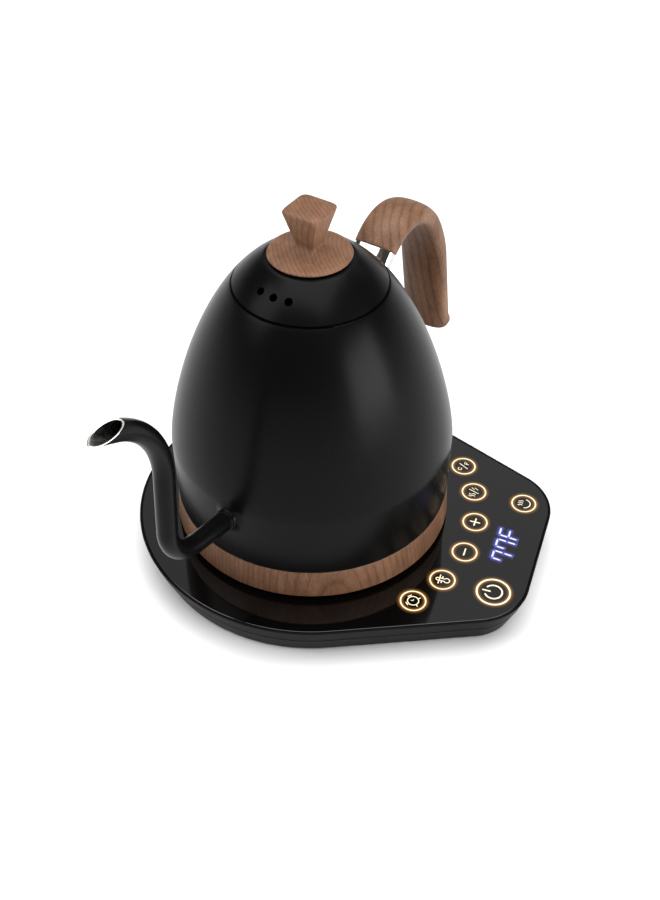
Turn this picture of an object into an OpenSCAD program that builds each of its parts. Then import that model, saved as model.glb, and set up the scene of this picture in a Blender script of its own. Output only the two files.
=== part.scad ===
// Electric gooseneck kettle standing on its heated, touch-controlled base.
// Millimetres, +Z up. The origin is on the kettle's axis, on the surface the base stands on.
// The control panel faces -Y. The spout points to -X and the handle to +X, turned by kettle_turn.

/* [Kettle] */
// Turn of the kettle on its round connector, about the vertical axis
kettle_turn = -14.65; // [-180:0.05:180]
// Largest outside radius of the egg-shaped body
egg_r = 66.6; // [60:0.1:75]
// Height of the widest ring of the body
wide_z = 69.8; // [65:0.1:75]
// Height of the egg's pointed end above its widest ring
egg_h = 100.7; // [95:0.1:110]
// Wall thickness of the steel body and lid
wall = 1.0; // [0.8:0.1:1.5]
// Height of the seam between body and lid
seam_z = 152.4; // [150:0.1:154]
// Radius of the filling opening under the lid
mouth_r = 31; // [28:0.5:31.5]

/* [Wood band] */
// Height of the lower edge of the wood band
band_z = 22.9; // [22:0.1:25]
// Height of the wood band
band_h = 15.1; // [12:0.1:16]
// Outside radius of the wood band at its lower edge
band_r = 67; // [66:0.1:70]

/* [Spout] */
// Outside diameter of the spout tube
spout_d = 9; // [8:0.1:10]
// Wall thickness of the spout tube
spout_wall = 0.6; // [0.5:0.1:1]
// Height of the spout's axis where it starts inside the body
spout_root_z = 62.3; // [60:0.1:66]
// Upward slope of the lowest stretch, in degrees
spout_rise = 11; // [5:1:20]
// Radius of the lower bend
lower_bend_r = 20; // [16:0.5:24]
// Lean of the upright stretch back towards the body, in degrees
spout_lean = 4; // [0:1:6]
// Length of the upright stretch
upright_l = 29.5; // [26:0.5:34]
// Radius of the upper bend
upper_bend_r = 43.2; // [40:0.1:46]

/* [Handle] */
// Width of the handle, across the kettle's symmetry plane
grip_w = 23.4; // [20:0.2:28]
// Thickness of the handle, in the symmetry plane
grip_t = 11; // [9:0.2:14]
// Slope of the steel neck where the wood starts, in degrees
neck_slope = 46; // [40:1:55]
// Radius of the bend at the top of the grip
top_bend_r = 25; // [20:0.5:30]
// Radius of the slack bend behind the grip
back_bend_r = 63; // [50:1:80]
// Length of the straight lower arm of the grip
arm_l = 41.5; // [36:0.5:46]

/* [Lid] */
// Radius of the wooden disc under the knob
disc_r = 18.5; // [16:0.1:20]
// Side of the square top of the knob
knob_top = 18.3; // [14:0.1:20]
// Side of the square foot of the knob
knob_foot = 8.6; // [6:0.1:10]
// Height of the knob's top
knob_z = 189; // [184:0.1:192]
// Diameter of the three steam vents
vent_d = 3.4; // [2.5:0.1:4]

/* [Base] */
// Height of the glossy top of the base
glass_z = 20; // [19:0.5:22]
// Radius of the round end of the base, about the kettle's axis
base_r = 86.8; // [86:0.1:92]
// Distance of the straight front edge from the kettle's axis
front_y = 115.5; // [110:0.5:125]
// Length of the straight front edge
front_w = 50; // [40:1:60]
// Radius of the two front corners
corner_r = 28.3; // [24:0.1:32]
// Inward lean of the rim, from the glass down to the seam
rim_lean = 2.5; // [1:0.1:3]
// Inward lean of the lower housing, from the seam down to its bottom edge
draft = 4.5; // [3:0.1:5]
// Radius of the arc on which the inner row of touch keys lies
key_arc_r = 81.6; // [78:0.1:84]

/* [Hidden] */
$fn = 96;
eps = 0.01;

// Colours
satin_black = [0.06, 0.06, 0.065];
gloss_black = [0.02, 0.02, 0.022];
walnut = [0.42, 0.27, 0.19];
steel = [0.75, 0.75, 0.76];
brass = [0.8, 0.62, 0.3];
board_green = [0.08, 0.3, 0.16];
rubber_grey = [0.12, 0.12, 0.12];

// ---- Egg-shaped profile shared by the body and the lid ----
egg_low_h = 217;          // half height of the slack lower curve
egg_power = 1.37;         // how early the flanks start to close in
egg_root = 2.18;          // how blunt the pointed end is
egg_steps = 30;
function egg(z) = z > wide_z
    ? egg_r * pow(1 - pow((z - wide_z) / egg_h, egg_power), 1 / egg_root)
    : egg_r * sqrt(1 - pow((wide_z - z) / egg_low_h, 2));
function egg_slope(z) = (egg(z + 0.05) - egg(z - 0.05)) / 0.1;
// Point of the profile at height z, moved inwards by t along the wall's normal
function egg_point(z, t = 0) =
    let (s = egg_slope(z), n = sqrt(1 + s * s)) [egg(z) - t / n, z + t * s / n];
function egg_curve(z0, z1, t = 0, steps = egg_steps) =
    [for (i = [0:steps]) egg_point(z0 + (z1 - z0) * i / steps, t)];
function reversed(list) = [for (i = [len(list) - 1:-1:0]) list[i]];

band_top_z = band_z + band_h;
skirt_r = 62.5;           // radius of the body's skirt inside the wood band
floor_z = 42;             // underside of the vessel's floor
seat_z = 151.6;           // ledge that carries the lid
seat_t = 1.0;

module turned() { rotate([0, 0, kettle_turn]) children(); }

// ---- Paths in the kettle's symmetry plane: [distance from the axis, height] ----
function ahead(p, heading, l) = p + l * [cos(heading), sin(heading)];
function left_centre(p, heading, r) = p + r * [-sin(heading), cos(heading)];
function right_centre(p, heading, r) = p + r * [sin(heading), -cos(heading)];
function left_end(p, h0, h1, r) = left_centre(p, h0, r) + r * [sin(h1), -cos(h1)];
function right_end(p, h0, h1, r) = right_centre(p, h0, r) + r * [-sin(h1), cos(h1)];

// Sweeps a 2-D section along a straight stretch or along an arc of that plane
module straight(p, heading, l) {
    translate([p[0], 0, p[1]]) rotate([0, 90 - heading, 0]) linear_extrude(l) children();
}
module left_bend(p, h0, h1, r) {
    c = left_centre(p, h0, r);
    translate([c[0], 0, c[1]]) rotate([90, 0, 0]) rotate([0, 0, h0 - 90])
        rotate_extrude(angle = h1 - h0) translate([r, 0]) children();
}
module right_bend(p, h0, h1, r) {
    c = right_centre(p, h0, r);
    translate([c[0], 0, c[1]]) rotate([90, 0, 0]) rotate([0, 0, h1 + 90])
        rotate_extrude(angle = h0 - h1) translate([r, 0]) children();
}

// One ring of a rounded bar: t thick in the symmetry plane, w wide across it, squareness n
function power(v, n) = sign(v) * pow(abs(v), 2 / n);
function bar_ring(station, t, w, n, shift = 0, ring_sides = 32) =
    [for (i = [0:ring_sides - 1])
        let (a = 360 * i / ring_sides, q = t / 2 * power(cos(a), n) + shift, h = station[1],
             p = station[0] + q * [-sin(h), cos(h)])
        [p[0], w / 2 * power(sin(a), n), p[1]]];
module skin(rings) {
    n = len(rings[0]);
    last = len(rings) - 1;
    polyhedron(
        points = [for (r = rings) each r],
        faces = concat(
            [[for (i = [n - 1:-1:0]) i]],
            [[for (i = [0:n - 1]) last * n + i]],
            [for (k = [0:last - 1], i = [0:n - 1])
                [k * n + i, k * n + (i + 1) % n, (k + 1) * n + (i + 1) % n, (k + 1) * n + i]]));
}

// ---- Base outline: one round end, two tangent flanks and a straight front with round corners ----
corner_c = [front_w / 2, corner_r - front_y];
flank_angle = acos((base_r - corner_r) / norm(corner_c)) + atan2(corner_c[1], corner_c[0]);
function arc(c, r, a0, a1, steps) =
    [for (i = [0:steps]) c + r * [cos(a0 + (a1 - a0) * i / steps), sin(a0 + (a1 - a0) * i / steps)]];
function base_points(inset) = concat(
    arc([0, 0], base_r - inset, flank_angle, 180 - flank_angle, 76),
    arc([-corner_c[0], corner_c[1]], corner_r - inset, 180 - flank_angle, 270, 16),
    arc(corner_c, corner_r - inset, -90, flank_angle, 16));
module base_outline(inset = 0) { polygon(base_points(inset)); }

// ---- Base: heights ----
foot_h = 1.5;
frame_z = 12.2;           // seam between lower housing and upper frame
glass_t = 3;
deck_z = glass_z - glass_t;
deck_t = 1.7;
housing_floor = 2;
floor_top = foot_h + housing_floor;
housing_wall = 2.2;
board_z = 9;
board_t = 1.6;
foot_places = [[0, 0], [58, 40], [-58, 40], [30, -94], [-30, -94]];
foot_r = 7;
screw_places = [[33, 62], [-33, 62], [70, -6], [-70, -6], [56, -52], [-56, -52]];
boss_r = 3.6;
boss_z = 7.6;             // where the bosses of housing and frame meet
key_angles = [-36.3, -22.6, -7.5, 7.5, 22.6, 36.3];
corner_keys = [[-31.1, -100.7], [31.1, -100.7]];
key_places = concat([for (a = key_angles) key_arc_r * [sin(a), -cos(a)]], corner_keys);
display_c = [0, -98.8];
display_size = [30, 15];
window_size = [106, 52];
window_y = -88;
socket_r = 17;            // boss of the round connector that stands through the glass
socket_z = 26.5;
slot_r = [8.5, 11.5];
pin_bore_r = 3.2;

module control_window(inset = 0) {
    intersection() {
        base_outline(7 + inset);
        difference() {
            translate([-window_size[0] / 2 + inset, window_y - window_size[1] / 2 + inset])
                square([window_size[0] - 2 * inset, window_size[1] - 2 * inset]);
            circle(74 + inset);
        }
    }
}

// How far the base's side lies inside the outline of its top, at height z
function side_inset(z) = z > frame_z
    ? rim_lean * (glass_z - z) / (glass_z - frame_z)
    : rim_lean + draft * (frame_z - z) / (frame_z - foot_h);

// The drafted side, or a wall's thickness inside it: one outline wrapped to a larger one above it
module drafted_block(z0, z1, t = 0) {
    hull() {
        translate([0, 0, z0]) linear_extrude(eps) base_outline(side_inset(z0) + t);
        translate([0, 0, z1 - eps]) linear_extrude(eps) base_outline(side_inset(z1) + t);
    }
}

module lower_housing() {
    color(satin_black) difference() {
        union() {
            difference() {
                drafted_block(foot_h, frame_z);
                drafted_block(floor_top, frame_z, housing_wall);
                translate([0, 0, frame_z - 0.1]) linear_extrude(1)
                    base_outline(side_inset(frame_z) + housing_wall);
            }
            for (p = screw_places) translate([p[0], p[1], foot_h])
                cylinder(boss_z - 0.2 - foot_h, 4.6, 4.6);
            translate([0, gland_y, gland_z]) rotate([-90, 0, 0])
                cylinder(gland_l, gland_boss_r, gland_boss_r);
        }
        for (p = screw_places) translate([p[0], p[1], foot_h - 1]) {
            cylinder(8, 1.7, 1.7);
            cylinder(3.2, 3, 3);
        }
        for (p = foot_places) translate([p[0], p[1], foot_h - 1]) cylinder(2, foot_r, foot_r);
        translate([0, gland_y - 1, gland_z]) rotate([-90, 0, 0]) cylinder(20, gland_r, gland_r);
    }
}

module upper_frame() {
    color(satin_black) difference() {
        union() {
            difference() {
                drafted_block(frame_z, glass_z);
                translate([0, 0, deck_z]) linear_extrude(glass_t + 1) base_outline(1.3);
                translate([0, 0, frame_z - 1]) linear_extrude(deck_z - deck_t - frame_z + 1)
                    base_outline(rim_lean + housing_wall);
            }
            for (p = screw_places) translate([p[0], p[1], boss_z])
                cylinder(deck_z - deck_t / 2 - boss_z, boss_r, boss_r);
        }
        translate([0, 0, frame_z - 1]) linear_extrude(deck_z) control_window();
        translate([0, 0, frame_z - 1]) cylinder(deck_z, 25, 25);
        for (p = screw_places) translate([p[0], p[1], boss_z - 1]) cylinder(6.5, 1.25, 1.25);
    }
}

module glass_top() {
    color(gloss_black) translate([0, 0, deck_z]) linear_extrude(glass_t) difference() {
        base_outline(1.4);
        circle(socket_r + 2);
    }
}

film_t = 0.4;
module icon_film() {
    color("white") translate([0, 0, deck_z - film_t]) linear_extrude(film_t)
        control_window(0.3);
}

guide_z = board_z + board_t + 1;
module light_guide() {
    color([0.9, 0.9, 0.86]) translate([0, 0, guide_z])
        linear_extrude(deck_z - film_t - guide_z) difference() {
            control_window(1);
            for (p = key_places) translate(p) circle(3);
            translate(display_c) square(display_size + [1, 1], center = true);
        }
}

module touch_springs() {
    color(steel) for (p = key_places) translate([p[0], p[1], board_z + board_t]) difference() {
        cylinder(deck_z - film_t - board_z - board_t, 2.2, 2.2, $fn = 32);
        translate([0, 0, -1]) cylinder(10, 1.7, 1.7, $fn = 32);
    }
}

module display_module() {
    color("dimgray") translate([display_c[0], display_c[1], board_z + board_t])
        linear_extrude(deck_z - film_t - board_z - board_t) square(display_size, center = true);
}

module control_board() {
    color(board_green) translate([0, 0, board_z]) linear_extrude(board_t) difference() {
        control_window(2);
        circle(76);
    }
}

power_c = [0, 50];
power_size = [52, 30];
module power_board() {
    color(board_green) translate([power_c[0], power_c[1], 6.4]) linear_extrude(board_t)
        square(power_size, center = true);
}

module power_relay() {
    color("royalblue") translate([-16, power_c[1] - 6, 8]) cube([20, 12, 6.5]);
}

module buzzer() {
    color("black") translate([18, power_c[1], 8]) difference() {
        cylinder(5, 6, 6);
        translate([0, 0, 3]) cylinder(3, 1, 1);
    }
}

module base_connector() {
    color(satin_black) difference() {
        union() {
            translate([0, 0, floor_top]) cylinder(13 - floor_top, 22, 22);
            translate([0, 0, 10]) cylinder(socket_z - 11, socket_r, socket_r);
            translate([0, 0, socket_z - 1]) cylinder(1, socket_r, socket_r - 1);
        }
        translate([0, 0, 14.5]) cylinder(20, pin_bore_r, pin_bore_r);
        translate([0, 0, 16]) difference() {
            cylinder(20, slot_r[1], slot_r[1]);
            translate([0, 0, -1]) cylinder(22, slot_r[0], slot_r[0]);
        }
    }
}

module base_contacts() {
    color(brass) {
        translate([0, 0, 14.5]) difference() {
            cylinder(8, pin_bore_r, pin_bore_r);
            translate([0, 0, -1]) cylinder(10, 2.4, 2.4);
        }
        translate([0, 0, 16]) difference() {
            cylinder(6, slot_r[1], slot_r[1]);
            translate([0, 0, -1]) cylinder(8, slot_r[1] - 0.5, slot_r[1] - 0.5);
        }
    }
}

module rubber_feet() {
    color(rubber_grey) for (p = foot_places) translate([p[0], p[1], 0]) {
        cylinder(1, foot_r - 1.2, foot_r - 0.2);
        translate([0, 0, 1]) cylinder(foot_h, foot_r - 0.2, foot_r - 0.2);
    }
}

// Screws with a round head below and a driven shaft above
module screw(head_r, head_h, shaft_r, shaft_l) {
    difference() {
        cylinder(head_h, head_r, head_r, $fn = 32);
        translate([0, 0, -1]) cylinder(1 + head_h / 2, head_r / 2, head_r / 2, $fn = 6);
    }
    translate([0, 0, head_h]) cylinder(shaft_l, shaft_r, shaft_r, $fn = 32);
}

module base_screws() {
    color(steel) for (p = screw_places) translate([p[0], p[1], foot_h + 0.4])
        screw(2.7, 1.8, 1.25, 9.2);
}

// Boss for the cord's gland, and the gland itself
gland_z = 7.9;
gland_boss_r = 4.3;
gland_r = 3.5;
gland_flange_r = 4.2;
gland_l = 8;
gland_y = base_r - rim_lean - gland_l;
module cord_gland() {
    color(rubber_grey) translate([0, gland_y, gland_z]) rotate([-90, 0, 0]) difference() {
        union() {
            translate([0, 0, -1.7]) cylinder(1.6, gland_flange_r, gland_flange_r);
            translate([0, 0, -1.7]) cylinder(gland_l + 3, gland_r - 0.05, gland_r - 0.05);
            translate([0, 0, gland_l + 0.1]) cylinder(1.2, gland_flange_r, gland_flange_r - 0.4);
        }
        translate([0, 0, -3]) cylinder(15, 2.9, 2.9);
    }
}

// ---- Round plug under the kettle: it keeps its place while the kettle turns round it ----
plug_r = 29.5;
cup_r = 18.2;
module kettle_connector() {
    color(satin_black) difference() {
        union() {
            translate([0, 0, 24]) cylinder(9, plug_r - 4, plug_r - 4);
            translate([0, 0, 22.6]) cylinder(1.8, plug_r, plug_r);
        }
        translate([0, 0, 20]) cylinder(9, cup_r, cup_r);
        translate([0, 0, 20]) cylinder(20, 1.9, 1.9);
        translate([0, 0, 29]) difference() {
            cylinder(3, 10.4, 10.4);
            translate([0, 0, -1]) cylinder(5, 9.6, 9.6);
        }
    }
}

module plug_contacts() {
    color(brass) {
        translate([0, 0, 17]) cylinder(18, 1.9, 1.9);
        translate([0, 0, 18.5]) difference() {
            cylinder(13, 10.4, 10.4);
            translate([0, 0, -1]) cylinder(15, 9.6, 9.6);
        }
    }
}

// ---- Kettle ----
// Solid outline of the whole egg, used to trim what is welded onto it
module egg_solid() {
    rotate_extrude() polygon(concat([[0, band_top_z]], egg_curve(band_top_z, seam_z - 0.5),
                                    [[0, seam_z - 0.5]]));
}

module kettle_body() {
    outside = egg_curve(band_top_z, seam_z - 0.5);
    inside = reversed(egg_curve(band_top_z + 2, seat_z - seat_t, wall));
    color(satin_black) turned() difference() {
        rotate_extrude() polygon(concat(
            [[skirt_r - wall, 26], [skirt_r, 26], [skirt_r, band_top_z]], outside,
            [[mouth_r + 2.6, seat_z], [mouth_r, seat_z], [mouth_r, seat_z - seat_t]], inside,
            [[skirt_r - wall, band_top_z + 2]]));
        rotate([0, 0, 180]) straight([50, spout_z(50)], spout_rise, 30)
            circle(spout_d / 2, $fn = 48);
    }
}

module vessel_floor() {
    color(steel) turned() translate([0, 0, floor_z]) difference() {
        cylinder(wall, egg(floor_z + wall) - wall - 0.4, egg(floor_z + wall) - wall - 0.4);
        translate([probe_x, 0, -1]) cylinder(4, grommet_r, grommet_r);
    }
}

diffuser_t = 2.5;
probe_x = 18;
grommet_r = 4.5;
module heat_diffuser() {
    color("silver") turned() translate([0, 0, floor_z - diffuser_t]) difference() {
        cylinder(diffuser_t, 50, 50);
        translate([probe_x, 0, -1]) cylinder(6, 6.5, 6.5);
    }
}

element_r = 3.4;
element_z = floor_z - diffuser_t - element_r;
module heating_element() {
    color("gray") turned() rotate([0, 0, 25]) {
        translate([0, 0, element_z]) rotate_extrude(angle = 310) translate([38, 0])
            circle(element_r, $fn = 40);
        for (a = [0, 310]) rotate([0, 0, a]) translate([38, 0, 27.5])
            cylinder(element_z - 27.5, element_r - 0.4, element_r - 0.4);
    }
}

module thermal_cutout() {
    color("saddlebrown") turned() translate([-14, 0, floor_z - diffuser_t - 4.5])
        cylinder(4.5, 8, 8);
}

module temperature_probe() {
    color(steel) turned() translate([probe_x, 0, 35]) {
        cylinder(20, 2.4, 2.4, $fn = 48);
        translate([0, 0, 20]) sphere(2.4, $fn = 48);
    }
}

module probe_grommet() {
    color("white") turned() translate([probe_x, 0, floor_z - 1.5]) difference() {
        union() {
            cylinder(1.5 + wall, grommet_r, grommet_r);
            cylinder(1.5, 6, 6);
            translate([0, 0, 1.5 + wall]) cylinder(1.4, 6, 5);
        }
        translate([0, 0, -1]) cylinder(8, 2.4, 2.4);
    }
}

post_c = 54;
post_angles = [60, 180, 300];
module cover_posts() {
    color(steel) turned() for (a = post_angles) rotate([0, 0, a]) translate([post_c, 0, 25.2])
        difference() {
            cylinder(floor_z - 25.2, 3.2, 3.2);
            translate([0, 0, -1]) cylinder(9, 1.25, 1.25);
        }
}

module wood_band() {
    color(walnut) turned() rotate_extrude() polygon([
        [skirt_r + 0.1, band_z], [band_r - 0.5, band_z], [band_r, band_z + 0.5],
        [egg(band_top_z) + 0.1, band_top_z - 0.1], [egg(band_top_z) - 0.3, band_top_z],
        [skirt_r + 0.1, band_top_z]]);
}

module bottom_cover() {
    color(satin_black) turned() difference() {
        rotate_extrude() polygon([
            [plug_r + 0.4, 22.6], [55.5, 22.6], [56.5, 20.3], [59.5, 20.3], [60.5, 22.6],
            [61.2, 22.6], [61.2, 25.2], [plug_r - 3.4, 25.2], [plug_r - 3.4, 24.8],
            [plug_r + 0.4, 24.8]]);
        for (a = post_angles) rotate([0, 0, a]) translate([post_c, 0, 20]) {
            cylinder(9, 1.6, 1.6);
            cylinder(3.6, 2.8, 2.8);
        }
    }
}

module cover_screws() {
    color(steel) turned() for (a = post_angles) rotate([0, 0, a])
        translate([post_c, 0, 22.7]) screw(2.5, 0.9, 1.25, 8);
}

// ---- Spout ----
spout_lead = 31.33;       // length of the lowest stretch, from 60 mm off the axis to the lower bend
function spout_z(x) = spout_root_z + (x - 60) * tan(spout_rise);
spout_p0 = [60, spout_root_z];
spout_p1 = ahead(spout_p0, spout_rise, spout_lead);
upright = 90 + spout_lean;
spout_p2 = left_end(spout_p1, spout_rise, upright, lower_bend_r);
spout_p3 = ahead(spout_p2, upright, upright_l);
tip_heading = 27.4;
spout_p4 = right_end(spout_p3, upright, tip_heading, upper_bend_r);
tip_l = 24;
mouth_p = [121.6, 162.6]; // rear edge of the slanted mouth
mouth_slope = -2.6;
spout_stations = concat(
    [for (i = [0:12]) let (h = spout_rise + (upright - spout_rise) * i / 12)
        [left_end(spout_p1, spout_rise, h, lower_bend_r), h]],
    [for (i = [0:14]) let (h = upright + (tip_heading - upright) * i / 14)
        [right_end(spout_p3, upright, h, upper_bend_r), h]]);
module spout_sweep(r, extra = 0) {
    ends = [[ahead(spout_p0, spout_rise, -extra), spout_rise],
            [ahead(spout_p4, tip_heading, tip_l + extra), tip_heading]];
    skin([for (s = concat([ends[0]], spout_stations, [ends[1]]))
        bar_ring(s, 2 * r, 2 * r, 2, 0, 28)]);
}
module spout_tube() {
    color(satin_black) turned() rotate([0, 0, 180]) difference() {
        spout_sweep(spout_d / 2);
        spout_sweep(spout_d / 2 - spout_wall, 1);
        translate([mouth_p[0], 0, mouth_p[1]]) rotate([0, -mouth_slope, 0])
            translate([-20, -20, 0]) cube([60, 40, 20]);
    }
}

collar_x = 66.3;
module spout_collar() {
    color(satin_black) turned() rotate([0, 0, 180]) difference() {
        translate([collar_x, 0, spout_z(collar_x)]) rotate([0, 90 - spout_rise, 0])
            rotate_extrude() polygon([
                [spout_d / 2, -3], [5.4, -3], [5.4, 0.9], [5.25, 1.1], [4.75, 1.3], [4.75, 1.7],
                [5.1, 1.9], [5.1, 2.5], [4.8, 2.8], [spout_d / 2, 2.8]]);
        egg_solid();
    }
}

// ---- Handle ----
neck_l = 16;
grip_p0 = [54, 139.8];
neck_p0 = ahead(grip_p0, neck_slope, -neck_l);
top_turn = -58;
arm_heading = -80;
grip_p1 = right_end(grip_p0, neck_slope, top_turn, top_bend_r);
grip_p2 = right_end(grip_p1, top_turn, arm_heading, back_bend_r);
toe_l = 8;
core_w = 14;
core_t = 4.6;

// Stations along the grip: [point, heading]
bend_stations = concat(
    [for (i = [0:16]) let (h = neck_slope + (top_turn - neck_slope) * i / 16)
        [right_end(grip_p0, neck_slope, h, top_bend_r), h]],
    [for (i = [1:4]) let (h = top_turn + (arm_heading - top_turn) * i / 4)
        [right_end(grip_p1, top_turn, h, back_bend_r), h]]);
function arm_stations(marks) = [for (l = marks) [ahead(grip_p2, arm_heading, l), arm_heading]];
core_end = arm_l - 6;

module handle_neck() {
    color(steel) turned() difference() {
        straight(neck_p0, neck_slope, neck_l) rounded(grip_t - 1.6, grip_w - 3, 4);
        egg_solid();
    }
}
module rounded(t, w, r) {
    square([t - 2 * r, w], center = true);
    square([t, w - 2 * r], center = true);
    for (x = [-1, 1], y = [-1, 1]) translate([x * (t / 2 - r), y * (w / 2 - r)])
        circle(r, $fn = 32);
}

module core_bar(gap = 0) {
    start = gap > 0 ? [[ahead(grip_p0, neck_slope, -1), neck_slope]] : [];
    skin([for (s = concat(start, bend_stations, arm_stations([15, core_end + gap])))
        bar_ring(s, core_t + 2 * gap, core_w + 2 * gap, 4, 0, 16)]);
}

module handle_core() {
    color(steel) turned() difference() {
        core_bar();
        grip_screw_shape(0.05);
    }
}

// The grip widens slowly along its length and flares into a small toe at its free end
toe_marks = [0, 0.25, 0.5, 0.7, 0.85, 0.94, 1];
toe_flare = [0, 0.4, 1.3, 2, 1.8, 1, 0];
module handle_grip() {
    n = len(bend_stations) - 1;
    bend = [for (i = [0:n]) let (k = i / n)
        bar_ring(bend_stations[i], grip_t, grip_w * (0.93 + 0.1 * k), 2.2 + 0.6 * k)];
    arm = [for (s = arm_stations([10, 20, 30, arm_l])) bar_ring(s, grip_t, grip_w * 1.04, 2.8)];
    toe = [for (i = [1:len(toe_marks) - 1])
        let (s = arm_stations([arm_l + toe_l * toe_marks[i]])[0],
             trim = i == len(toe_marks) - 1 ? 2.5 : 0)
        bar_ring(s, grip_t + toe_flare[i] - trim, grip_w * 1.04 - trim, 2.8,
                 toe_flare[i] / 2 - trim / 4)];
    color(walnut) turned() difference() {
        skin(concat(bend, arm, toe));
        core_bar(0.1);
        grip_screw_shape(0.1);
    }
}

// Screw from the end of the toe, along the arm and into the end of the core
screw_l = toe_l - 1 + arm_l - core_end;
module grip_screw_shape(gap = 0) {
    p = ahead(grip_p2, arm_heading, arm_l + toe_l - 1);
    straight(p, arm_heading + 180, screw_l + 8 + gap) circle(1.5 + gap, $fn = 32);
    straight(p, arm_heading + 180, 2 + gap) circle(2.8 + gap, $fn = 32);
    if (gap > 0.05)
        straight(ahead(p, arm_heading, 3), arm_heading + 180, 3.1) circle(2.8 + gap, $fn = 32);
}

module grip_screw() {
    color(steel) turned() grip_screw_shape();
}

// ---- Lid ----
lid_gap = 0.5;
lid_edge_z = seam_z + 0.3;
disc_z = 166.3;
crown_z = 165.3;
module vent_holes() {
    for (a = [-15, 0, 15]) rotate([0, 0, 180 + a]) translate([27.6, 0, 0.5 + vent_surface_z])
        rotate([0, 44, 0]) translate([0, 0, -6]) cylinder(12, vent_d / 2, vent_d / 2, $fn = 32);
}
vent_surface_z = 159.4;

module lid_shell() {
    outside = egg_curve(lid_edge_z, crown_z, 0, 14);
    inside = reversed(egg_curve(lid_edge_z + 0.2, crown_z - 1.0, wall, 14));
    color(satin_black) turned() difference() {
        rotate_extrude() polygon(concat(
            outside, [[2.6, crown_z], [2.6, crown_z - wall], [15, crown_z - wall]], inside));
        vent_holes();
    }
}

skirt_wall = 0.8;
module lid_plug() {
    r = mouth_r - 1;
    color(steel) turned() difference() {
        rotate_extrude() polygon([
            [0, 138], [r - 1, 138], [r, 139], [r, 151.9], [33, 151.9], [33, 152.6],
            [r - skirt_wall, 152.6], [r - skirt_wall, 139.4], [r - 1.4, 138.8], [0, 138.8]]);
        for (a = [-30, 0, 30]) rotate([0, 0, 180 + a]) translate([20, 0, 130])
            cylinder(20, 2.5, 2.5, $fn = 32);
    }
}

module lid_seal() {
    color(rubber_grey) turned() rotate_extrude() polygon([
        [mouth_r - 1, 148.8], [mouth_r - 0.6, 148.8], [mouth_r - 0.3, 149.3],
        [mouth_r - 0.3, 150.9], [mouth_r - 0.6, 151.6], [mouth_r - 1, 151.6]]);
}

knob_foot_z = 171;
module lid_knob() {
    color(walnut) turned() difference() {
        union() {
            rotate_extrude() difference() {
                polygon([[0, disc_z], [disc_r - 0.4, disc_z], [disc_r, disc_z + 0.5],
                         [disc_r - 0.3, disc_z + 1.3], [4, knob_foot_z], [0, knob_foot_z]]);
                translate([16, 196]) circle(28);
            }
            hull() {
                translate([0, 0, knob_foot_z - 2]) linear_extrude(0.5)
                    rounded(knob_foot, knob_foot, 1.2);
                translate([0, 0, knob_z - 1.6]) linear_extrude(0.4)
                    rounded(knob_top, knob_top, 1.8);
                translate([0, 0, knob_z - 0.2]) linear_extrude(0.2)
                    rounded(knob_top - 3.5, knob_top - 3.5, 1.6);
            }
        }
        translate([0, 0, disc_z - 1]) cylinder(11, 1.5, 1.5, $fn = 32);
    }
}

module knob_screw() {
    color(steel) turned() translate([0, 0, crown_z - wall - 2.6]) screw(3.2, 1.6, 1.5, 12);
}

module knob_washer() {
    color(rubber_grey) turned() difference() {
        translate([0, 0, crown_z]) cylinder(disc_z - crown_z, 16.8, 16.8);
        translate([0, 0, crown_z - 1]) cylinder(4, 1.7, 1.7, $fn = 32);
    }
}

lower_housing();
upper_frame();
glass_top();
icon_film();
light_guide();
touch_springs();
display_module();
control_board();
power_board();
power_relay();
buzzer();
base_connector();
base_contacts();
rubber_feet();
base_screws();
cord_gland();
kettle_connector();
plug_contacts();
kettle_body();
vessel_floor();
heat_diffuser();
heating_element();
thermal_cutout();
temperature_probe();
probe_grommet();
cover_posts();
wood_band();
bottom_cover();
cover_screws();
spout_tube();
spout_collar();
handle_neck();
handle_core();
handle_grip();
grip_screw();
lid_shell();
lid_plug();
lid_seal();
lid_knob();
knob_screw();
knob_washer();
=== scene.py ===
"""An electric gooseneck kettle on its touch-controlled base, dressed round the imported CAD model.

Lengths in this script are millimetres until make() turns them into metres. The kettle's own pieces
are drawn with the spout towards -X and the handle towards +X, and then turned with turn=True.
"""
import math
from math import cos, sin, pi, radians

import bmesh
import bpy
from mathutils import Matrix, Vector


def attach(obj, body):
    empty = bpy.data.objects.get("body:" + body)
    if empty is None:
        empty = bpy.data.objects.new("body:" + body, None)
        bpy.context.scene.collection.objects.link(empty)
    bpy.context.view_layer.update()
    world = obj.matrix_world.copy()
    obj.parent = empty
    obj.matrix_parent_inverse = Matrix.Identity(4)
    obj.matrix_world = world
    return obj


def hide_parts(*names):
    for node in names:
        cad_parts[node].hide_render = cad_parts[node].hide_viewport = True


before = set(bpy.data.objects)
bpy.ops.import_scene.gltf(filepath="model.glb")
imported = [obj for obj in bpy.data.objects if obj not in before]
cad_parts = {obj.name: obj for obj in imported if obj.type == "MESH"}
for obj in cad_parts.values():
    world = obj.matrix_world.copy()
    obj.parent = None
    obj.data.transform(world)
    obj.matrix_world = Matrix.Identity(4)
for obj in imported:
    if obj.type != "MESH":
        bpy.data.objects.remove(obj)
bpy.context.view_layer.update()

MM = 0.001
TURN = Matrix.Rotation(radians(-14.65), 4, "Z")
SPOUT_SIDE = Matrix.Rotation(pi, 4, "Z")
MERGE = 2e-7  # metres: points closer than this become one
HALVINGS = 40


def in_scene(name, data):
    """An object with this data, linked to the scene."""
    thing = bpy.data.objects.new(name, data)
    bpy.context.scene.collection.objects.link(thing)
    return thing


# ---------------------------------------------------------------- camera

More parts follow.
